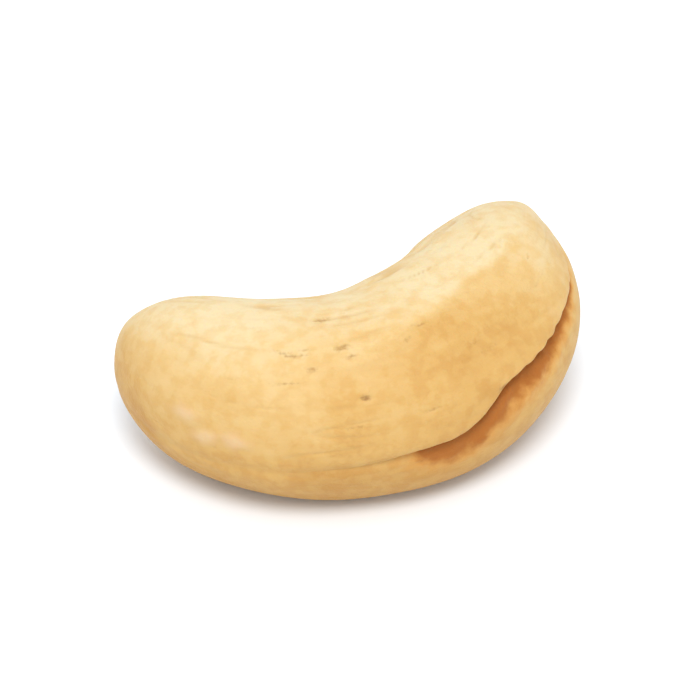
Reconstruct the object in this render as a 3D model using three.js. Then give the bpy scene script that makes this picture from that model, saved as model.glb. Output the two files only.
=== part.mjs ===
// A whole cashew kernel, shelled and peeled, lying on its side.
// Millimetres, +Z up. The bowed outer edge faces -Y and the bay between the two arms opens to +Y.
// The blunt tip points to -X and the slim tip to +X. The origin is on the floor, under the middle.

import * as THREE from 'three';
import { mergeVertices } from 'three/addons/utils/BufferGeometryUtils.js';

const { degToRad, euclideanModulo, lerp } = THREE.MathUtils;

// The spine is an arc round the bay. Every place along it runs from -1, the blunt tip, to 1, the slim tip.
const SPINE_RADIUS = 11.55;
const SPINE_HALF_TURN = degToRad(75.5);
const SPINE_PITCH = 1.0; // the slim tip is this much higher than the middle, the blunt tip lower
const SPINE_SAG = 0.6; // both tips are lifted this much over the middle

// Half sizes of the cross-section at the middle of the spine, with their slope and curve along it.
const OUTER_HALF_WIDTH = { middle: 6.25, slope: 0.09, curve: -0.36 };
const INNER_HALF_WIDTH = { middle: 5.1, slope: 0.22, curve: 0.3 };
const UPPER_HALF_HEIGHT = { middle: 5.65, slope: -0.05, curve: 0.07 };
const LOWER_HALF_HEIGHT = { middle: 5.6, slope: 0.26, curve: 0.15 };

// Exponents of the rounded forms: 2 is an ellipse, and more is fuller.
const UPPER_FULLNESS = 2.17;
const LOWER_FULLNESS = 2.1;
const BLUNT_TIP_FULLNESS = 3.4;
const SLIM_TIP_FULLNESS = 2.8;

// The seam between the two cotyledons follows the outer edge and comes back along the inner one.
// From the blunt tip to the slim one the outer seam slopes up, with a quick step at the root of the slim arm.
const OUTER_SEAM_ANGLE = degToRad(-4);
const OUTER_SEAM_SLOPE = degToRad(14);
const OUTER_SEAM_STEP = { angle: degToRad(16.5), place: 0.2, halfSpan: 0.06 };
const OUTER_SEAM_DEPTH = 0.08;
const INNER_SEAM_DEPTH = 0.35;
const SEAM_HALF_WIDTH = 0.42;

// On the slim arm the outer seam gapes, and the lower cotyledon stands back from the upper one.
const GAPE_PLACE = 0.35;
const GAPE_HALF_SPAN = 0.33;
const GAPE_DEPTH = 0.6;
const LOWER_LIP_HALF_WIDTH = 0.85;
const LIP_RECESS = 0.45;
const LIP_RECESS_REACH = 1.6;

// Shallow hollows in the flanks, by their angle about the spine. A depth below 0 makes a swelling.
const HOLLOWS = [
  { angle: degToRad(48), place: 0.42, halfSpan: 0.36, halfWidth: 1.9, depth: 0.36 },
  { angle: degToRad(118), place: -0.3, halfSpan: 0.5, halfWidth: 2.0, depth: 0.25 },
  { angle: degToRad(150), place: 0.2, halfSpan: 0.6, halfWidth: 1.6, depth: 0.2 },
  { angle: degToRad(212), place: -0.1, halfSpan: 0.6, halfWidth: 1.8, depth: 0.25 },
  { angle: degToRad(322), place: -0.35, halfSpan: 0.4, halfWidth: 1.6, depth: 0.15 },
  { angle: degToRad(42), place: 0.85, halfSpan: 0.16, halfWidth: 2.8, depth: 0.8 },
  { angle: degToRad(133), place: 0.74, halfSpan: 0.16, halfWidth: 2.2, depth: 0.45 },
  { angle: degToRad(130), place: 0.12, halfSpan: 0.24, halfWidth: 2.3, depth: -0.28 },
  { angle: degToRad(318), place: 0.2, halfSpan: 0.2, halfWidth: 2.0, depth: -0.22 },
];

// The underside is worn level by this much, with a soft edge, which makes the flat spot that it rests on.
const FLAT_SPOT_DEPTH = 0.5;
const FLAT_SPOT_EDGE = 0.12;

// The mesh has this many steps round the spine and along it, crowded together at the seam.
const STEPS_ROUND = 56;
const STEPS_ALONG = 60;
const SEAM_CROWDING = 0.65;

const FLESH_COLOUR = 0xeec98a;
const FLESH_ROUGHNESS = 0.55;

function swell(size, along) {
  return size.middle * (1 + size.slope * along + size.curve * along * along);
}

function fullPower(value, fullness) {
  return Math.sign(value) * Math.abs(value) ** (2 / fullness);
}

function bump(distance, halfWidth) {
  return Math.exp(-((distance / halfWidth) ** 2));
}

function spinePoint(along) {
  const turn = SPINE_HALF_TURN * along;
  const outward = new THREE.Vector3(Math.sin(turn), -Math.cos(turn), 0);
  const point = outward.clone().multiplyScalar(SPINE_RADIUS);
  point.z = SPINE_PITCH * along + SPINE_SAG * along * along;
  return { point, outward };
}

function gapeAt(along) {
  return bump(along - GAPE_PLACE, GAPE_HALF_SPAN);
}

function outerSeamAngle(along) {
  const { angle, place, halfSpan } = OUTER_SEAM_STEP;
  const stepped = 0.5 + 0.5 * Math.tanh((along - place) / halfSpan);
  return OUTER_SEAM_ANGLE + OUTER_SEAM_SLOPE * along + angle * stepped;
}

// The angle about the spine for a step round it: step 0 is the outer seam and step PI the inner one.
function angleOfStep(step, along) {
  const crowded = step - 0.5 * SEAM_CROWDING * Math.sin(2 * step);
  return crowded + outerSeamAngle(along) * (0.5 + 0.5 * Math.cos(step));
}

function wrapAngle(angle) {
  return euclideanModulo(angle + Math.PI, 2 * Math.PI) - Math.PI;
}

// How far the seam's groove goes in, by the distance across it, with the upper cotyledon on the plus side.
function seamGroove(along, acrossOuter, acrossInner) {
  const gape = gapeAt(along);
  const below = acrossOuter < 0;
  const halfWidth = below ? lerp(SEAM_HALF_WIDTH, LOWER_LIP_HALF_WIDTH, gape) : SEAM_HALF_WIDTH;
  const outer = (OUTER_SEAM_DEPTH + GAPE_DEPTH * gape) * bump(acrossOuter, halfWidth);
  const inner = INNER_SEAM_DEPTH * bump(acrossInner, SEAM_HALF_WIDTH);
  const lowerLip = below ? LIP_RECESS * gape * bump(acrossOuter, LIP_RECESS_REACH) : 0;
  return outer + inner + lowerLip;
}

function hollowDepth(along, angle, girth) {
  let depth = 0;
  for (const hollow of HOLLOWS) {
    const across = wrapAngle(angle - hollow.angle) * girth;
    depth += hollow.depth * bump(across, hollow.halfWidth) * bump(along - hollow.place, hollow.halfSpan);
  }
  return depth;
}

function kernelPoint(along, step) {
  const { point, outward } = spinePoint(along);
  const angle = angleOfStep(step, along);
  const side = Math.cos(angle);
  const rise = Math.sin(angle);
  const tipFullness = along < 0 ? BLUNT_TIP_FULLNESS : SLIM_TIP_FULLNESS;
  const taper = Math.sqrt(1 - Math.abs(along) ** tipFullness);
  const fullness = rise > 0 ? UPPER_FULLNESS : LOWER_FULLNESS;
  const halfWidth = swell(side > 0 ? OUTER_HALF_WIDTH : INNER_HALF_WIDTH, along) * taper;
  const halfHeight = swell(rise > 0 ? UPPER_HALF_HEIGHT : LOWER_HALF_HEIGHT, along) * taper;
  const out = halfWidth * fullPower(side, fullness);
  const up = halfHeight * fullPower(rise, fullness);
  const reach = Math.hypot(out, up);
  if (reach === 0) {
    return point;
  }
  const girth = reach / taper;
  const acrossOuter = wrapAngle(angle - outerSeamAngle(along)) * girth;
  const acrossInner = wrapAngle(angle - Math.PI) * girth;
  const sunk = taper * (seamGroove(along, acrossOuter, acrossInner) + hollowDepth(along, angle, girth));
  const kept = 1 - sunk / reach;
  point.addScaledVector(outward, out * kept);
  point.z += up * kept;
  return point;
}

function kernelGeometry() {
  const geometry = new THREE.SphereGeometry(1, STEPS_ROUND, STEPS_ALONG);
  const place = geometry.getAttribute('position');
  const grid = geometry.getAttribute('uv');
  for (let i = 0; i < place.count; i += 1) {
    const along = Math.cos(Math.PI * grid.getY(i));
    const step = 2 * Math.PI * grid.getX(i);
    const point = kernelPoint(along, step);
    place.setXYZ(i, point.x, point.y, point.z);
  }
  levelUnderside(geometry);
  geometry.deleteAttribute('normal');
  geometry.deleteAttribute('uv');
  const welded = mergeVertices(geometry);
  welded.computeVertexNormals();
  return welded;
}

// A height over the floor, worn to 0 below it, with a soft bend between.
function wornHeight(height) {
  if (height <= -FLAT_SPOT_EDGE) {
    return 0;
  }
  if (height >= FLAT_SPOT_EDGE) {
    return height;
  }
  return (height + FLAT_SPOT_EDGE) ** 2 / (4 * FLAT_SPOT_EDGE);
}

// Levels the lowest stretch of the underside and sets the kernel on the floor, centred on the origin.
function levelUnderside(geometry) {
  geometry.computeBoundingBox();
  const box = geometry.boundingBox;
  const floor = box.min.z + FLAT_SPOT_DEPTH;
  const middle = box.getCenter(new THREE.Vector3());
  const place = geometry.getAttribute('position');
  for (let i = 0; i < place.count; i += 1) {
    place.setX(i, place.getX(i) - middle.x);
    place.setY(i, place.getY(i) - middle.y);
    place.setZ(i, wornHeight(place.getZ(i) - floor));
  }
}

function buildKernel() {
  const material = new THREE.MeshStandardMaterial({
    color: FLESH_COLOUR,
    roughness: FLESH_ROUGHNESS,
    metalness: 0,
  });
  const mesh = new THREE.Mesh(kernelGeometry(), material);
  mesh.name = 'cashew_kernel';
  return mesh;
}

const kernel = new THREE.Group();
kernel.add(buildKernel());

export default kernel;
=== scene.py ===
# A whole cashew kernel, shelled and peeled: its fine surface, its flesh, and a plain studio round it.
import math

import bpy
import numpy as np
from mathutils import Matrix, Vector, noise


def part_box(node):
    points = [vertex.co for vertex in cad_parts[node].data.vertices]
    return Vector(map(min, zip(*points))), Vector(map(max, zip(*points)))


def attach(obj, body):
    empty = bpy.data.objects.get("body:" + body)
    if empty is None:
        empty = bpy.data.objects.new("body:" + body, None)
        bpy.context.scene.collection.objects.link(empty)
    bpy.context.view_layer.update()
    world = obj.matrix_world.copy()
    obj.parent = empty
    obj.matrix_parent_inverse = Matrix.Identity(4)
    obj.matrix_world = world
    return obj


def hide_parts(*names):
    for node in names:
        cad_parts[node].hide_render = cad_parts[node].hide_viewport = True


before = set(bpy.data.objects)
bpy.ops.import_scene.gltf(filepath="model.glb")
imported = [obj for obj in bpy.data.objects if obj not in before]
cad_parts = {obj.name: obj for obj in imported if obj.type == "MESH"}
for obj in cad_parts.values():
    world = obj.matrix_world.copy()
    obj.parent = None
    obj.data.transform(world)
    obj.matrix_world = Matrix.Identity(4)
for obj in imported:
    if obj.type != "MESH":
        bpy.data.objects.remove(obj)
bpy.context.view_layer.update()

NODE = "cashew_kernel"
BODY = "root"
PIECE = "kernel_flesh"
MM = 0.001

# Places along the spine run from -1, the blunt tip, to 1, the slim tip. Spans are given in the same way.
# Angles about the spine are 0 at the outer edge, 90 degrees on top and 180 degrees in the bay.
# A rise is where a thing sets in, and how softly. A wander is how far a thing strays, and over what length.

# The spine is an arc round the bay.
SPINE_RADIUS = 11.55 * MM
SPINE_HALF_TURN = math.radians(75.5)
SPINE_HALF_LENGTH = SPINE_RADIUS * SPINE_HALF_TURN
SPINE_PITCH = 1.0 * MM  # the slim tip is this much higher than the middle, the blunt tip lower
SPINE_SAG = 0.6 * MM  # both tips are lifted this much over the middle

# Half sizes of the cross-section at the middle of the spine, with their slope and curve along it.
OUTER_HALF_WIDTH = (6.25 * MM, 0.09, -0.36)
INNER_HALF_WIDTH = (5.1 * MM, 0.22, 0.3)
UPPER_HALF_HEIGHT = (5.65 * MM, -0.05, 0.07)
LOWER_HALF_HEIGHT = (5.6 * MM, 0.26, 0.15)

# Exponents of the rounded forms: 2 is an ellipse, and more is fuller.
UPPER_FULLNESS = 2.17
LOWER_FULLNESS = 2.1
BLUNT_TIP_FULLNESS = 3.4
SLIM_TIP_FULLNESS = 2.8

# The seam between the two cotyledons follows the outer edge and comes back along the inner one.
# From the blunt tip to the slim one the outer seam slopes up,
# with a quick step at the root of the slim arm.
OUTER_SEAM_ANGLE = math.radians(-4)
OUTER_SEAM_SLOPE = math.radians(14)
SEAM_STEP_ANGLE = math.radians(16.5)
SEAM_STEP_RISE = (0.2, 0.06)
OUTER_SEAM_DEPTH = 0.08 * MM
INNER_SEAM_DEPTH = 0.35 * MM
SEAM_HALF_WIDTH = 0.42 * MM
SEAM_WANDER = (0.25 * MM, 2.6 * MM)

# On the slim arm the outer seam gapes. The upper lip is crisp and nicked and hangs over a narrow crack,
# and the lower cotyledon stands back from it.
GAPE_PLACE = 0.35
GAPE_HALF_SPAN = 0.33
GAPE_DEPTH = 0.6 * MM
UPPER_LIP_HALF_WIDTH = 0.2 * MM
LOWER_LIP_HALF_WIDTH = 0.85 * MM
LIP_OVERHANG = 0.15 * MM
LIP_NICKS = (0.45 * MM, 0.8 * MM)  # a wander
LIP_RECESS = 0.45 * MM
LIP_RECESS_REACH = 1.6 * MM
CRACK_DEPTH = 0.45 * MM
CRACK_HALF_WIDTH = 0.16 * MM

# Below the crack the torn face is lumpy.
LUMP_HEIGHT = 0.3 * MM
LUMP_LENGTH = 0.9 * MM
LUMPS_BELOW = 1.1 * MM
LUMPS_HALF_WIDTH = 0.8 * MM

# The brown of the crack reaches furthest below the lip at its own place, and needs the seam to gape. It is
# partly the torn face's own brown and partly painted shade under the lip.
# The inner seam is a crease, darkened with painted shade.
CRACK_BROWN_BELOW = 2.9 * MM
CRACK_BROWN_ABOVE = 0.12 * MM
CRACK_BROWN_PLACE = 0.22
CRACK_BROWN_HALF_SPAN = 0.4
CRACK_BROWN_GAPE = 2.5  # the brown is full where the gape times this reaches 1
CRACK_BROWN_RISE = (-0.02, 0.06)
INNER_SEAM_SHADE = 0.6
INNER_SEAM_SHADE_HALF_WIDTH = 0.25 * MM

# Shallow hollows in the flanks: angle about the spine, place, half span, half width and depth.
# A depth below 0 makes a swelling.
HOLLOWS = [
    (math.radians(48), 0.42, 0.36, 1.9 * MM, 0.36 * MM),
    (math.radians(118), -0.3, 0.5, 2.0 * MM, 0.25 * MM),
    (math.radians(150), 0.2, 0.6, 1.6 * MM, 0.2 * MM),
    (math.radians(212), -0.1, 0.6, 1.8 * MM, 0.25 * MM),
    (math.radians(322), -0.35, 0.4, 1.6 * MM, 0.15 * MM),
    (math.radians(42), 0.85, 0.16, 2.8 * MM, 0.8 * MM),
    (math.radians(133), 0.74, 0.16, 2.2 * MM, 0.45 * MM),
    (math.radians(130), 0.12, 0.24, 2.3 * MM, -0.28 * MM),
    (math.radians(318), 0.2, 0.2, 2.0 * MM, -0.22 * MM),
]

# The underside is worn level by this much, with a soft edge.
FLAT_SPOT_DEPTH = 0.5 * MM
FLAT_SPOT_EDGE = 0.12 * MM

# Soft swells all over.
SWELL_DEPTH = 0.3 * MM
SWELL_LENGTH = 5.0 * MM
SWELL_WIDTH = 3.2 * MM

# Lengthwise wrinkles, broken here and there. They set in where the section is wide enough,
# by its taper, and are stronger on the side that faces the bay.
WRINKLE_DEPTH = 0.07 * MM
WRINKLE_LENGTH = 15.0 * MM
WRINKLE_WIDTH = 1.1 * MM
WRINKLE_SHARPNESS = 0.08
WRINKLE_BREAK_LENGTH = 3.2 * MM
WRINKLE_COVER = 0.3
WRINKLE_COVER_CHANGE = 1.4
WRINKLE_TAPER_RISE = (0.72, 0.1)
WRINKLE_BAY_RISE = (0.3, 0.25)
WRINKLE_BAY_GAIN = 1.5

# Creases and pits: place, angle in degrees, half length, half width and depth in millimetres, and darkness,
# which is painted shade in the crease.
CREASES = [
    (-0.31, 62, 1.2, 0.2, 0.07, 0.5),
    (-0.27, 66, 0.6, 0.18, 0.05, 0.4),
    (-0.25, 53, 0.35, 0.2, 0.07, 0.55),
    (-0.21, 86, 0.8, 0.2, 0.07, 0.5),
    (-0.16, 65, 0.55, 0.22, 0.09, 0.55),
    (-0.14, 60, 0.4, 0.18, 0.06, 0.5),
    (-0.12, 35, 0.27, 0.22, 0.14, 0.8),
    (0.03, 63, 0.3, 0.18, 0.06, 0.5),
    (0.08, 69, 0.5, 0.18, 0.06, 0.5),
    (0.04, 21, 0.5, 0.18, 0.05, 0.45),
    (0.24, 40, 1.0, 0.16, 0.05, 0.35),
    (0.235, 14, 0.35, 0.24, 0.06, 0.7),
]
CREASE_WANDER = (0.3 * MM, 1.1 * MM)

# Many fainter creases are scattered between these limits, given in the same order.
SCATTERED_CREASE_COUNT = 90
SCATTERED_CREASE_LIMITS = [
    (-0.9, 0.9),
    (-180, 180),
    (0.2, 1.3),
    (0.1, 0.18),
    (0.02, 0.06),
    (0.1, 0.42),
]

# Soft patches that are browner than the flesh round them, or paler: place, angle in degrees,
# half length and half width in millimetres, and by how much. The two browner ones at the rim of the
# blunt tip are partly painted shade, and the pale one at -0.24 and 15 degrees is partly a painted
# highlight.
PATCHES = [
    (-0.88, 15, 2.2, 4.0, 0.25),
    (-0.74, -4, 0.8, 1.4, 0.25),
    (-0.47, 31, 1.3, 0.9, 0.16),
    (-0.49, -6, 1.6, 0.7, 0.1),
    (-0.08, 50, 4.5, 3.6, 0.34),
    (-0.12, 12, 2.8, 1.2, 0.1),
    (-0.15, -12, 4.0, 1.2, 0.1),
    (0.14, -9, 1.2, 0.7, 0.5),
    (0.11, 28, 1.5, 1.2, -0.14),
    (0.58, 52, 2.2, 2.2, -0.12),
    (-0.24, 15, 0.55, 0.35, -0.2),
    (0.02, 57, 0.3, 0.22, -0.15),
    (0.1, 53, 0.8, 0.22, -0.16),
]

# Pale blisters, whose pale is partly a painted highlight: place, angle in degrees, and half length, half
# width and height in millimetres.
BLISTERS = [
    (-0.58, 16, 0.65, 0.6, 0.14),
    (-0.52, 6, 0.6, 0.55, 0.14),
    (-0.44, 8, 0.7, 0.55, 0.15),
]
BLISTER_WANDER = (0.4 * MM, 0.8 * MM)

# The tan side of the slim arm lies a little deeper and ends in a clear edge along the crest. Its tan is
# partly the flesh's own and partly painted shade of the flank turned from the light.
# Before the level place the edge drops towards the seam. The foot is a rise by angle, the others by place.
TAN_EDGE_ANGLE = math.radians(78)
TAN_EDGE_SOFTNESS = math.radians(2.5)
TAN_EDGE_LEVEL = 0.2
TAN_EDGE_DROP = math.radians(60)
TAN_EDGE_WANDER = (math.radians(5), 1.5 * MM)
TAN_FOOT_RISE = (math.radians(18), math.radians(20))
TAN_START_RISE = (0.04, 0.1)
TAN_END_RISE = (0.54, 0.14)
TAN_LEFT_AT_END = 0.15
TAN_LEDGE = 0.15 * MM

# How much browner the underside is than the top, and the tan side than the flesh round it. Both are partly
# the flesh's own browning and partly painted shade, darker where less light falls.
UNDERSIDE_TOAST_AND_SHADE = 1.15
UNDERSIDE_TOAST_AND_SHADE_CURVE = 0.75
TIP_EVENNESS = 2.5
TAN_SIDE_TOAST_AND_SHADE = 0.45

# Seeds, so that no two of the noises run alike. The last one is for the scattered creases.
SWELL_SEED = 0
SEAM_SEED = 3
WRINKLE_SEED = 5
NICK_SEED = 8
WRINKLE_BREAK_SEED = 9
LUMP_SEED = 20
TAN_EDGE_SEED = 31
CREASE_SEED = 40
BLISTER_SEED = 60
SCATTER_SEED = 11

# The mesh has this many steps round the spine and along it, crowded together at the seam.
STEPS_ROUND = 300
STEPS_ALONG = 320
SEAM_CROWDING = 0.4

# Colours of the flesh, as linear light. The ramp's steps run from pale flesh to the brownest, and its
# browner steps also serve as painted shade.
CREAM = (0.69, 0.565, 0.335, 1)
GOLD = (0.645, 0.445, 0.19, 1)
TAN = (0.585, 0.355, 0.115, 1)
ORANGE_TAN = (0.5, 0.265, 0.07, 1)
TOAST_AND_SHADE_RAMP = [(0.0, CREAM), (0.38, GOLD), (0.7, TAN), (1.0, ORANGE_TAN)]
# The seam's dark brown is partly painted shade under the lip. Its rust is the torn face's own colour.
SEAM_SHADE_BROWN = (0.36, 0.122, 0.018, 1)
SEAM_RUST = (0.57, 0.285, 0.07, 1)
BLISTER_PINK_HIGHLIGHT = (0.69, 0.5, 0.32, 1)
# The brown of the creases is painted shade in them.
CREASE_SHADE_BROWN = (0.34, 0.18, 0.055, 1)
# The tan of the folds is painted shade in the wrinkles' grooves.
FOLD_SHADE_TAN = (0.55, 0.33, 0.11, 1)

# Noises in the flesh: scale and detail. Streaks and fibres are drawn out along the spine.
BLOTCH_NOISE = (330, 4)
FLAKE_NOISE = (1300, 3)
STREAK_NOISE = (1500, 3)
FIBRE_NOISE = (5200, 2)
GRAIN_NOISE = (5200, 3)
STREAK_STRETCH = (0.4, 1, 1)
FIBRE_STRETCH = (0.07, 1, 1)

# How much each noise changes the browning. Flakes fade in between two strengths of theirs.
BLOTCH_TOAST = 0.5
FLAKE_TOAST = 0.1
STREAK_TOAST = 0.2
FIBRE_TOAST = 0.06
FLAKE_EDGE = (0.42, 0.6)

# Marks on the flesh: how ragged they are, between which strengths they fade in, and how well they cover.
BLISTER_RAGGEDNESS = 0.8
BLISTER_EDGE = (0.1, 1.2)
BLISTER_COVER = 0.55
FOLD_SHADE_COVER = 0.4
CREASE_RAGGEDNESS = 0.5
CREASE_EDGE = (0.2, 0.75)
SEAM_RAGGEDNESS = 0.5
SEAM_RUST_EDGE = (0.0, 0.5)
SEAM_SHADE_BROWN_EDGE = (0.3, 0.62)

# Gloss, depth and grain of the flesh. The relief counts the flakes and fibres against the grain.
FLESH_ROUGHNESS = 0.45
STREAK_ROUGHNESS = 0.2
FLESH_SPECULAR = 0.2
SUBSURFACE_WEIGHT = 0.3
SUBSURFACE_RADIUS = (1.0, 0.5, 0.2)
SUBSURFACE_SCALE = 0.7 * MM
FLAKE_RELIEF = 1.2
FIBRE_RELIEF = 0.4
RELIEF_STRENGTH = 0.6
RELIEF_HEIGHT = 0.06 * MM

# The colour sockets of a mix node, by number, because its other sockets have the same names.
MIX_FIRST_COLOUR = 6
MIX_SECOND_COLOUR = 7
MIX_RESULT_COLOUR = 2

# A wide pale floor.
FLOOR_HALF_SIZE = 3.0
FLOOR_COLOUR = (0.87, 0.918, 0.972, 1)
FLOOR_ROUGHNESS = 0.9
FLOOR_SPECULAR = 0.1

# The camera stands at the photograph's angle, far enough off for nearly parallel sight lines.
CAMERA_AZIMUTH = math.radians(-21.7)
CAMERA_ELEVATION = math.radians(38)
CAMERA_DISTANCE = 0.7
CAMERA_TARGET = (-0.0012, 0, 0.0068)
CAMERA_FRAME_WIDTH = 0.038  # the width that the picture takes in at the target
CAMERA_CLIP_START = 0.01
SENSOR_WIDTH = 36.0  # in millimetres, as lenses are

# Soft light: a white surround, and one large lamp high up on the camera's side.
SURROUND_COLOUR = (1, 1, 1, 1)
SURROUND_STRENGTH = 1.0
KEY_PLACE = (-0.1, -0.29, 0.54)
KEY_SIZE = 0.25
KEY_POWER = 2.1


# Soft forms


def size_at(size, along):
    """A half size at a place along the spine, from its middle value, slope and curve."""
    middle, slope, curve = size
    return middle * (1 + slope * along + curve * along ** 2)


def bump(distance, half_width):
    """1 at no distance, and falling away to 0 on both sides."""
    return np.exp(-(distance / half_width) ** 2)


def rise_over(value, softness):
    """Goes from 0 to 1 as the value passes 0."""
    return 0.5 + 0.5 * np.tanh(value / softness)


def risen_past(value, rise):
    """Goes from 0 to 1 as the value passes the place of a rise."""
    place, softness = rise
    return rise_over(value - place, softness)


def full_power(value, fullness):
    """A sine or cosine, bent so that the section is fuller than an ellipse."""
    return np.sign(value) * np.abs(value) ** (2 / fullness)


def wrap_angle(angle):
    """The same angle between minus half a turn and half a turn."""
    return np.mod(angle + math.pi, 2 * math.pi) - math.pi


def noise_at(x, y, z):
    """Smooth noise, about -1 to 1, at each place of three arrays of one shape."""
    places = np.stack([x, y, z], -1).reshape(-1, 3)
    values = [noise.noise(Vector(place)) for place in places]
    return np.array(values).reshape(x.shape)


# The plain form of the kernel


def gape_at(along):
    """How far the outer seam gapes, from 0 to 1."""
    return bump(along - GAPE_PLACE, GAPE_HALF_SPAN)


def outer_seam_angle(along):
    """The angle about the spine at which the outer seam runs."""
    stepped = risen_past(along, SEAM_STEP_RISE)
    return OUTER_SEAM_ANGLE + OUTER_SEAM_SLOPE * along + SEAM_STEP_ANGLE * stepped


def angle_of_step(step, along):
    """The angle about the spine for a step round it: step 0 is the outer seam and step pi the inner one."""
    crowded = step - 0.5 * SEAM_CROWDING * np.sin(2 * step)
    return crowded + outer_seam_angle(along) * (0.5 + 0.5 * np.cos(step))


class Surface:
    """The plain form of the kernel on a grid of rings, before anything is sunk into it."""

    def __init__(self):
        tilt = np.linspace(0, math.pi, STEPS_ALONG + 1)[1:-1]
        step = np.linspace(0, 2 * math.pi, STEPS_ROUND, endpoint=False)
        self.along, step = np.meshgrid(-np.cos(tilt), step, indexing="ij")
        self.angle = angle_of_step(step, self.along)
        side = np.cos(self.angle)
        rise = np.sin(self.angle)
        tip_fullness = np.where(self.along < 0, BLUNT_TIP_FULLNESS, SLIM_TIP_FULLNESS)
        self.taper = np.sqrt(1 - np.abs(self.along) ** tip_fullness)
        fullness = np.where(rise > 0, UPPER_FULLNESS, LOWER_FULLNESS)
        width = self.half_size(side, OUTER_HALF_WIDTH, INNER_HALF_WIDTH)
        height = self.half_size(rise, UPPER_HALF_HEIGHT, LOWER_HALF_HEIGHT)
        self.out = width * full_power(side, fullness) * self.taper
        self.up = height * full_power(rise, fullness) * self.taper
        self.reach = np.hypot(self.out, self.up)
        self.girth = self.reach / self.taper
        self.lengthwise = self.along * SPINE_HALF_LENGTH

    def half_size(self, way, plus_size, minus_size):
        """One half size where the way is above 0, and another where it is not."""
        return np.where(way > 0, size_at(plus_size, self.along), size_at(minus_size, self.along))

    def noise(self, length, width, seed):
        """Noise with its own length along the spine and width across it."""
        return noise_at(self.lengthwise / length + seed, self.out / width, self.up / width)

    def wander(self, extent, seed):
        """How far a thing strays at each point."""
        sway, length = extent
        return sway * self.noise(length, length, seed)

    def wander_along(self, extent, seed):
        """How far a thing strays along the spine, the same all round it."""
        sway, length = extent
        still = np.zeros_like(self.along)
        return sway * noise_at(self.lengthwise / length, still, still + seed)

    def across(self, angle):
        """Distance round the section from an angle."""
        return wrap_angle(self.angle - angle) * self.girth

    def straight(self):
        """The surface's points with the spine pulled straight."""
        return np.stack([self.lengthwise, self.out, self.up], -1)

    def sunk(self, depth):
        """The surface's points when it is sunk by these depths."""
        kept = 1 - self.taper * depth / self.reach
        turn = SPINE_HALF_TURN * self.along
        radius = SPINE_RADIUS + self.out * kept
        height = SPINE_PITCH * self.along + SPINE_SAG * self.along ** 2 + self.up * kept
        return np.stack([radius * np.sin(turn), -radius * np.cos(turn), height], -1)


# What is sunk into the form or stands out from it


def seam_distances(surface):
    """Distances across the outer seam and the inner one, with the bends and the nicks in the lip."""
    bends = surface.wander_along(SEAM_WANDER, SEAM_SEED)
    nicks = np.abs(surface.wander_along(LIP_NICKS, NICK_SEED))
    hanging = (LIP_OVERHANG + nicks) * gape_at(surface.along)
    across_outer = surface.across(outer_seam_angle(surface.along)) + bends + hanging
    across_inner = surface.across(math.pi) + bends
    return across_outer, across_inner


def seam_depth(surface, across_outer, across_inner):
    """How far the seam goes in, by the distance across it, with the upper cotyledon on the plus side."""
    gape = gape_at(surface.along)
    upper = across_outer > 0
    lip_half_width = np.where(upper, UPPER_LIP_HALF_WIDTH, LOWER_LIP_HALF_WIDTH)
    half_width = SEAM_HALF_WIDTH + gape * (lip_half_width - SEAM_HALF_WIDTH)
    groove = (OUTER_SEAM_DEPTH + GAPE_DEPTH * gape) * bump(across_outer, half_width)
    crack = CRACK_DEPTH * gape * bump(across_outer, CRACK_HALF_WIDTH)
    recess = np.where(upper, 0, LIP_RECESS * gape * bump(across_outer, LIP_RECESS_REACH))
    torn = LUMP_HEIGHT * gape * bump(across_outer + LUMPS_BELOW, LUMPS_HALF_WIDTH)
    lumps = torn * surface.noise(LUMP_LENGTH, LUMP_LENGTH, LUMP_SEED)
    inner = INNER_SEAM_DEPTH * bump(across_inner, SEAM_HALF_WIDTH)
    return groove + crack + recess + lumps + inner


def hollow_depth(surface):
    depth = 0
    for angle, place, half_span, half_width, deepest in HOLLOWS:
        section_depth = deepest * bump(surface.across(angle), half_width)
        depth = depth + section_depth * bump(surface.along - place, half_span)
    return depth


def swell_depth(surface):
    return SWELL_DEPTH * (0.5 + 0.5 * surface.noise(SWELL_LENGTH, SWELL_WIDTH, SWELL_SEED))


def wrinkle_field(surface):
    """Broken lengthwise wrinkles, up to 1 outside the bay and more inside it."""
    folds = surface.noise(WRINKLE_LENGTH, WRINKLE_WIDTH, WRINKLE_SEED)
    breaks = surface.noise(WRINKLE_BREAK_LENGTH, WRINKLE_BREAK_LENGTH, WRINKLE_BREAK_SEED)
    cover = np.clip(WRINKLE_COVER + WRINKLE_COVER_CHANGE * breaks, 0, 1)
    kept = risen_past(surface.taper, WRINKLE_TAPER_RISE)
    strength = 1 + WRINKLE_BAY_GAIN * risen_past(-np.cos(surface.angle), WRINKLE_BAY_RISE)
    return bump(folds, WRINKLE_SHARPNESS) * cover * kept * strength


def scattered_creases():
    draw = np.random.default_rng(SCATTER_SEED)
    creases = []
    for _ in range(SCATTERED_CREASE_COUNT):
        creases.append([draw.uniform(*limits) for limits in SCATTERED_CREASE_LIMITS])
    return creases


def mark_at(surface, place, angle, half_length, half_width, wander=0):
    """A soft spot on the surface, 1 in its middle. The angle is in degrees and the sizes in millimetres."""
    lengthwise = surface.lengthwise - place * SPINE_HALF_LENGTH
    crosswise = surface.across(math.radians(angle)) + wander
    return bump(lengthwise, half_length * MM) * bump(crosswise, half_width * MM)


def crease_fields(surface):
    """How far the creases go in, and how dark their painted shade is."""
    depth = np.zeros_like(surface.along)
    painted_shade = np.zeros_like(surface.along)
    wander = surface.wander(CREASE_WANDER, CREASE_SEED)
    for place, angle, half_length, half_width, deep, darkness in CREASES + scattered_creases():
        mark = mark_at(surface, place, angle, half_length, half_width, wander)
        depth = np.maximum(depth, deep * MM * mark)
        painted_shade = np.maximum(painted_shade, darkness * mark)
    return depth, painted_shade


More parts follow.
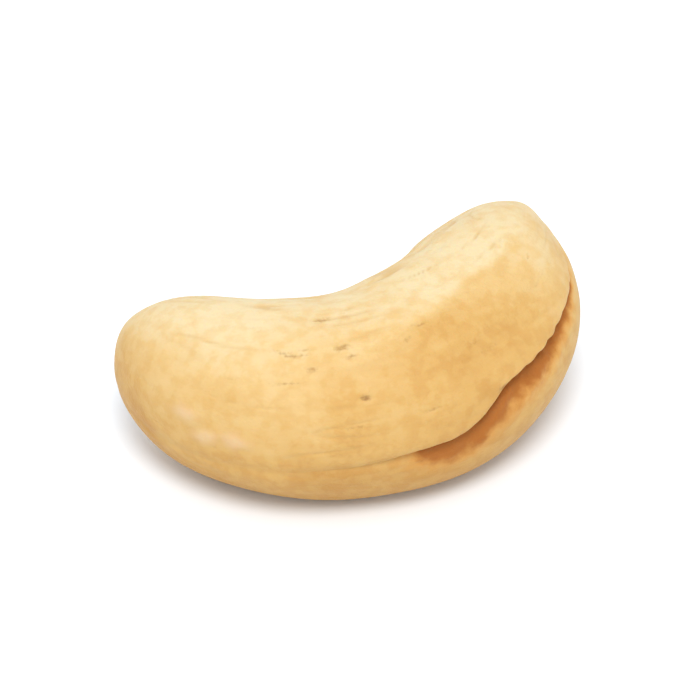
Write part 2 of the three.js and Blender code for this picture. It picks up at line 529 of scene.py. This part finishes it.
def blister_fields(surface):
    """How far the blisters stand out, and how pale they are, partly as a painted highlight."""
    height = np.zeros_like(surface.along)
    pale_highlight = np.zeros_like(surface.along)
    wander = surface.wander(BLISTER_WANDER, BLISTER_SEED)
    for place, angle, half_length, half_width, high in BLISTERS:
        mark = mark_at(surface, place, angle, half_length, half_width, wander)
        height = np.maximum(height, high * MM * mark)
        pale_highlight = np.maximum(pale_highlight, mark)
    return height, pale_highlight


# What colours the flesh


def tan_side(surface):
    """1 on the tan side of the slim arm, partly browned flesh and partly painted shade of the flank turned
    from the light, and 0 away from it.
    """
    turned = wrap_angle(surface.angle)
    edge = TAN_EDGE_ANGLE - TAN_EDGE_DROP * np.clip(TAN_EDGE_LEVEL - surface.along, 0, 1)
    edge = edge + surface.wander(TAN_EDGE_WANDER, TAN_EDGE_SEED)
    under_edge = rise_over(edge - turned, TAN_EDGE_SOFTNESS) * risen_past(turned, TAN_FOOT_RISE)
    fading = 1 - (1 - TAN_LEFT_AT_END) * risen_past(surface.along, TAN_END_RISE)
    return under_edge * risen_past(surface.along, TAN_START_RISE) * fading


def browning_and_shade(surface, tan):
    """How far the flesh has gone from cream, 0, to orange tan, 1, by browning and by painted shade on the
    underside, the tan flank and the rim of the blunt tip. It evens out at the tips.
    """
    down = 0.5 - 0.5 * np.sin(surface.angle) * np.tanh(TIP_EVENNESS * surface.taper)
    toast_and_shade = UNDERSIDE_TOAST_AND_SHADE * down ** UNDERSIDE_TOAST_AND_SHADE_CURVE + TAN_SIDE_TOAST_AND_SHADE * tan
    for place, angle, half_length, half_width, amount in PATCHES:
        toast_and_shade = toast_and_shade + amount * mark_at(surface, place, angle, half_length, half_width)
    return np.clip(toast_and_shade, 0, 1)


def crack_brown_and_shade(surface, across_outer):
    """How brown the gaping part of the outer seam is: partly the torn face's own brown, partly painted
    shade under the lip.
    """
    reach = CRACK_BROWN_BELOW * bump(surface.along - CRACK_BROWN_PLACE, CRACK_BROWN_HALF_SPAN)
    below_lip = np.clip(1 + across_outer / reach, 0, 1)
    on_lip = bump(across_outer, CRACK_BROWN_ABOVE)
    gaping = np.clip(CRACK_BROWN_GAPE * gape_at(surface.along), 0, 1)
    begun = risen_past(surface.along, CRACK_BROWN_RISE)
    return np.where(across_outer < 0, below_lip, on_lip) * gaping * begun


# Painted shade in the groove of the inner seam.
def inner_seam_shade(surface, across_inner):
    return INNER_SEAM_SHADE * bump(across_inner, INNER_SEAM_SHADE_HALF_WIDTH) * surface.taper


# The mesh


def kernel_grid(surface):
    """The rings of the fine surface, and the fields that colour it."""
    across_outer, across_inner = seam_distances(surface)
    wrinkles = wrinkle_field(surface)
    crease_depth, crease_shade = crease_fields(surface)
    blister_height, blister_pale_highlight = blister_fields(surface)
    tan = tan_side(surface)
    depth = seam_depth(surface, across_outer, across_inner) + hollow_depth(surface) + swell_depth(surface)
    depth = depth + WRINKLE_DEPTH * wrinkles + crease_depth + TAN_LEDGE * tan - blister_height
    fields = {
        "toast_and_shade": browning_and_shade(surface, tan),
        "seam": crack_brown_and_shade(surface, across_outer),
        "wrinkle": wrinkles,
        "crease": np.maximum(crease_shade, inner_seam_shade(surface, across_inner)),
        "blister": blister_pale_highlight,
    }
    return surface.sunk(depth), fields


def tip_point(along):
    """The end of the spine at a tip, -1 or 1."""
    turn = SPINE_HALF_TURN * along
    height = SPINE_PITCH * along + SPINE_SAG
    return np.array([SPINE_RADIUS * math.sin(turn), -SPINE_RADIUS * math.cos(turn), height])


def worn_height(height):
    """Heights over the floor, worn to 0 below it, with a soft bend between."""
    bend = (height + FLAT_SPOT_EDGE) ** 2 / (4 * FLAT_SPOT_EDGE)
    worn = np.where(height >= FLAT_SPOT_EDGE, height, bend)
    return np.where(height <= -FLAT_SPOT_EDGE, 0, worn)


def settle_in_box(points):
    """Levels the underside and sets the surface into the box that its node fills."""
    points = points.copy()
    points[:, 2] = worn_height(points[:, 2] - points[:, 2].min() - FLAT_SPOT_DEPTH)
    low, high = (np.array(corner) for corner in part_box(NODE))
    lowest = points.min(0)
    highest = points.max(0)
    return low + (points - lowest) * (high - low) / (highest - lowest)


def grid_faces(rings, steps):
    """Quads between the rings, and a fan of triangles at each tip, whose points come last."""
    faces = []
    first_tip = rings * steps
    last_tip = first_tip + 1
    last_ring = (rings - 1) * steps
    for here in range(steps):
        beside = (here + 1) % steps
        faces.append((first_tip, beside, here))
        faces.append((last_tip, last_ring + here, last_ring + beside))
        for ring in range(0, last_ring, steps):
            following = ring + steps
            faces.append((ring + here, ring + beside, following + beside, following + here))
    return faces


def with_tips(field):
    """A field's values in the order of the mesh's points. Each tip takes the mean of its nearest ring."""
    rings, steps, *parts = field.shape
    tips = [field[0].mean(0), field[-1].mean(0)]
    return np.concatenate([field.reshape(rings * steps, *parts), tips]).astype(np.float32)


def add_fields(mesh, fields, straight):
    """Keeps the fields and the straightened points on the mesh, for the material."""
    for name, field in fields.items():
        attribute = mesh.attributes.new(name, "FLOAT", "POINT")
        attribute.data.foreach_set("value", with_tips(field))
    attribute = mesh.attributes.new("straight", "FLOAT_VECTOR", "POINT")
    attribute.data.foreach_set("vector", with_tips(straight).reshape(-1))


def add_object(name, data):
    thing = bpy.data.objects.new(name, data)
    bpy.context.scene.collection.objects.link(thing)
    return thing


def build_kernel():
    surface = Surface()
    grid, fields = kernel_grid(surface)
    rings, steps = grid.shape[:2]
    points = np.concatenate([grid.reshape(-1, 3), [tip_point(-1), tip_point(1)]])
    mesh = bpy.data.meshes.new(PIECE)
    mesh.from_pydata(settle_in_box(points).tolist(), [], grid_faces(rings, steps))
    mesh.polygons.foreach_set("use_smooth", [True] * len(mesh.polygons))
    add_fields(mesh, fields, surface.straight())
    mesh.update()
    mesh.materials.append(flesh_material())
    return add_object(PIECE, mesh)


# The materials


class Nodes:
    """Short ways to add the nodes of one material."""

    def __init__(self, name):
        self.material = bpy.data.materials.new(name)
        self.material.use_nodes = True
        self.tree = self.material.node_tree
        self.shader = self.tree.nodes["Principled BSDF"]

    def fill(self, node, inputs):
        """Links the outputs of other nodes to inputs, by name or number, or sets plain values there."""
        for key, value in inputs.items():
            socket = node.inputs[key]
            if isinstance(value, bpy.types.NodeSocket):
                self.tree.links.new(value, socket)
            else:
                socket.default_value = value

    def add(self, kind, inputs, **settings):
        node = self.tree.nodes.new(kind)
        for name, value in settings.items():
            setattr(node, name, value)
        self.fill(node, inputs)
        return node

    def attribute(self, name):
        return self.add("ShaderNodeAttribute", {}, attribute_name=name)

    def field(self, name):
        """The values of a field that the mesh keeps."""
        return self.attribute(name).outputs["Fac"]

    def stretched(self, name, stretch):
        """Points that the mesh keeps, times a scale for each axis."""
        inputs = {"Vector": self.attribute(name).outputs["Vector"], "Scale": stretch}
        return self.add("ShaderNodeMapping", inputs).outputs["Vector"]

    def noise(self, coordinates, scale, detail):
        inputs = {"Vector": coordinates, "Scale": scale, "Detail": detail}
        return self.add("ShaderNodeTexNoise", inputs).outputs["Fac"]

    def math(self, operation, *values):
        inputs = dict(enumerate(values))
        return self.add("ShaderNodeMath", inputs, operation=operation).outputs["Value"]

    def between(self, value, low, high):
        """0 below the low value and 1 above the high one, with a smooth rise between."""
        inputs = {"Value": value, "From Min": low, "From Max": high}
        return self.add("ShaderNodeMapRange", inputs, interpolation_type="SMOOTHSTEP").outputs["Result"]

    def varied(self, value, variation, amount):
        """The value, moved by a noise of 0 to 1 up to half the amount either way."""
        shifted = self.math("SUBTRACT", variation, 0.5)
        return self.math("MULTIPLY_ADD", shifted, amount, value)

    def mix(self, factor, first, second):
        inputs = {"Factor": factor, MIX_FIRST_COLOUR: first, MIX_SECOND_COLOUR: second}
        return self.add("ShaderNodeMix", inputs, data_type="RGBA").outputs[MIX_RESULT_COLOUR]

    def ramp(self, factor, stops):
        """Colours that follow one another through the stops. The first stop is at 0 and the last at 1."""
        node = self.add("ShaderNodeValToRGB", {"Fac": factor})
        elements = node.color_ramp.elements
        for position, _ in stops[1:-1]:
            elements.new(position)
        for element, (_, colour) in zip(elements, stops):
            element.color = colour
        return node.outputs["Color"]


def flesh_noises(nodes):
    """The noises that the flesh's colour, gloss and relief share."""
    plain = nodes.add("ShaderNodeTexCoord", {}).outputs["Object"]
    streaked = nodes.stretched("straight", STREAK_STRETCH)
    fibrous = nodes.stretched("straight", FIBRE_STRETCH)
    return {
        "blotches": nodes.noise(plain, *BLOTCH_NOISE),
        "flakes": nodes.noise(plain, *FLAKE_NOISE),
        "streaks": nodes.noise(streaked, *STREAK_NOISE),
        "fibres": nodes.noise(fibrous, *FIBRE_NOISE),
        "grain": nodes.noise(plain, *GRAIN_NOISE),
    }


def browned_and_shaded_colour(nodes, noises):
    """The colour of the flesh by how browned it is and how much painted shade it carries, uneven with
    blotches, flakes, streaks and fibres.
    """
    toast_and_shade = nodes.varied(nodes.field("toast_and_shade"), noises["blotches"], BLOTCH_TOAST)
    toast_and_shade = nodes.varied(toast_and_shade, nodes.between(noises["flakes"], *FLAKE_EDGE), FLAKE_TOAST)
    toast_and_shade = nodes.varied(toast_and_shade, noises["streaks"], STREAK_TOAST)
    toast_and_shade = nodes.varied(toast_and_shade, noises["fibres"], FIBRE_TOAST)
    return nodes.ramp(toast_and_shade, TOAST_AND_SHADE_RAMP)


def marked_colour(nodes, noises, flesh):
    """The flesh with its blisters, folds and creases, and the rust and brown of the seam, in that order.
    The blisters' pale is partly a painted highlight, the folds' tan and the creases' brown are painted
    shade, and the seam's brown is partly painted shade under the lip.
    """
    ragged_blister = nodes.varied(nodes.field("blister"), noises["flakes"], BLISTER_RAGGEDNESS)
    blister_cover = nodes.math("MULTIPLY", nodes.between(ragged_blister, *BLISTER_EDGE), BLISTER_COVER)
    blistered_and_highlit = nodes.mix(blister_cover, flesh, BLISTER_PINK_HIGHLIGHT)
    fold_shade_cover = nodes.math("MULTIPLY", nodes.field("wrinkle"), FOLD_SHADE_COVER)
    fold_shaded = nodes.mix(fold_shade_cover, blistered_and_highlit, FOLD_SHADE_TAN)
    ragged_crease = nodes.varied(nodes.field("crease"), noises["grain"], CREASE_RAGGEDNESS)
    crease_shaded = nodes.mix(nodes.between(ragged_crease, *CREASE_EDGE), fold_shaded, CREASE_SHADE_BROWN)
    ragged_seam = nodes.varied(nodes.field("seam"), noises["flakes"], SEAM_RAGGEDNESS)
    rusty = nodes.mix(nodes.between(ragged_seam, *SEAM_RUST_EDGE), crease_shaded, SEAM_RUST)
    return nodes.mix(nodes.between(ragged_seam, *SEAM_SHADE_BROWN_EDGE), rusty, SEAM_SHADE_BROWN)


def flesh_relief(nodes, noises):
    """The normals of the finest relief: grain, flakes and fibres."""
    flaky = nodes.math("MULTIPLY_ADD", noises["flakes"], FLAKE_RELIEF, noises["grain"])
    height = nodes.math("MULTIPLY_ADD", noises["fibres"], FIBRE_RELIEF, flaky)
    inputs = {"Strength": RELIEF_STRENGTH, "Distance": RELIEF_HEIGHT, "Height": height}
    return nodes.add("ShaderNodeBump", inputs).outputs["Normal"]


def flesh_material():
    nodes = Nodes("kernel_flesh")
    noises = flesh_noises(nodes)
    flesh = browned_and_shaded_colour(nodes, noises)
    nodes.fill(nodes.shader, {
        "Base Color": marked_colour(nodes, noises, flesh),
        "Roughness": nodes.math("MULTIPLY_ADD", noises["streaks"], STREAK_ROUGHNESS, FLESH_ROUGHNESS),
        "Normal": flesh_relief(nodes, noises),
        "Specular IOR Level": FLESH_SPECULAR,
        "Subsurface Weight": SUBSURFACE_WEIGHT,
        "Subsurface Radius": SUBSURFACE_RADIUS,
        "Subsurface Scale": SUBSURFACE_SCALE,
    })
    return nodes.material


def floor_material():
    nodes = Nodes("pale_floor")
    nodes.fill(nodes.shader, {
        "Base Color": FLOOR_COLOUR,
        "Roughness": FLOOR_ROUGHNESS,
        "Specular IOR Level": FLOOR_SPECULAR,
    })
    return nodes.material


# The studio


def build_floor():
    half = FLOOR_HALF_SIZE
    corners = [(-half, -half, 0), (half, -half, 0), (half, half, 0), (-half, half, 0)]
    mesh = bpy.data.meshes.new("floor")
    mesh.from_pydata(corners, [], [(0, 1, 2, 3)])
    mesh.materials.append(floor_material())
    floor = add_object("floor", mesh)


def point_along(thing, direction):
    """Turns a lamp or a camera to look in a direction, upright."""
    thing.rotation_euler = direction.to_track_quat("-Z", "Y").to_euler()


def build_surround():
    world = bpy.data.worlds.new("studio")
    world.use_nodes = True
    background = world.node_tree.nodes["Background"]
    background.inputs["Color"].default_value = SURROUND_COLOUR
    background.inputs["Strength"].default_value = SURROUND_STRENGTH
    bpy.context.scene.world = world


def build_key_light():
    light = bpy.data.lights.new("key", "AREA")
    light.shape = "DISK"
    light.size = KEY_SIZE
    light.energy = KEY_POWER
    lamp = add_object("key", light)
    lamp.location = KEY_PLACE
    point_along(lamp, Vector(CAMERA_TARGET) - Vector(KEY_PLACE))


def build_camera():
    data = bpy.data.cameras.new("camera")
    data.sensor_width = SENSOR_WIDTH
    data.lens = SENSOR_WIDTH * CAMERA_DISTANCE / CAMERA_FRAME_WIDTH
    data.clip_start = CAMERA_CLIP_START
    level = math.cos(CAMERA_ELEVATION)
    back = Vector((
        math.sin(CAMERA_AZIMUTH) * level,
        -math.cos(CAMERA_AZIMUTH) * level,
        math.sin(CAMERA_ELEVATION),
    ))
    camera = add_object("camera", data)
    camera.location = Vector(CAMERA_TARGET) + CAMERA_DISTANCE * back
    point_along(camera, -back)
    bpy.context.scene.camera = camera


# The kernel on its body, and the studio round it


kernel = build_kernel()
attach(kernel, BODY)
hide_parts(NODE)

build_floor()
build_surround()
build_key_light()
build_camera()
bpy.context.scene.view_settings.view_transform = "Standard"
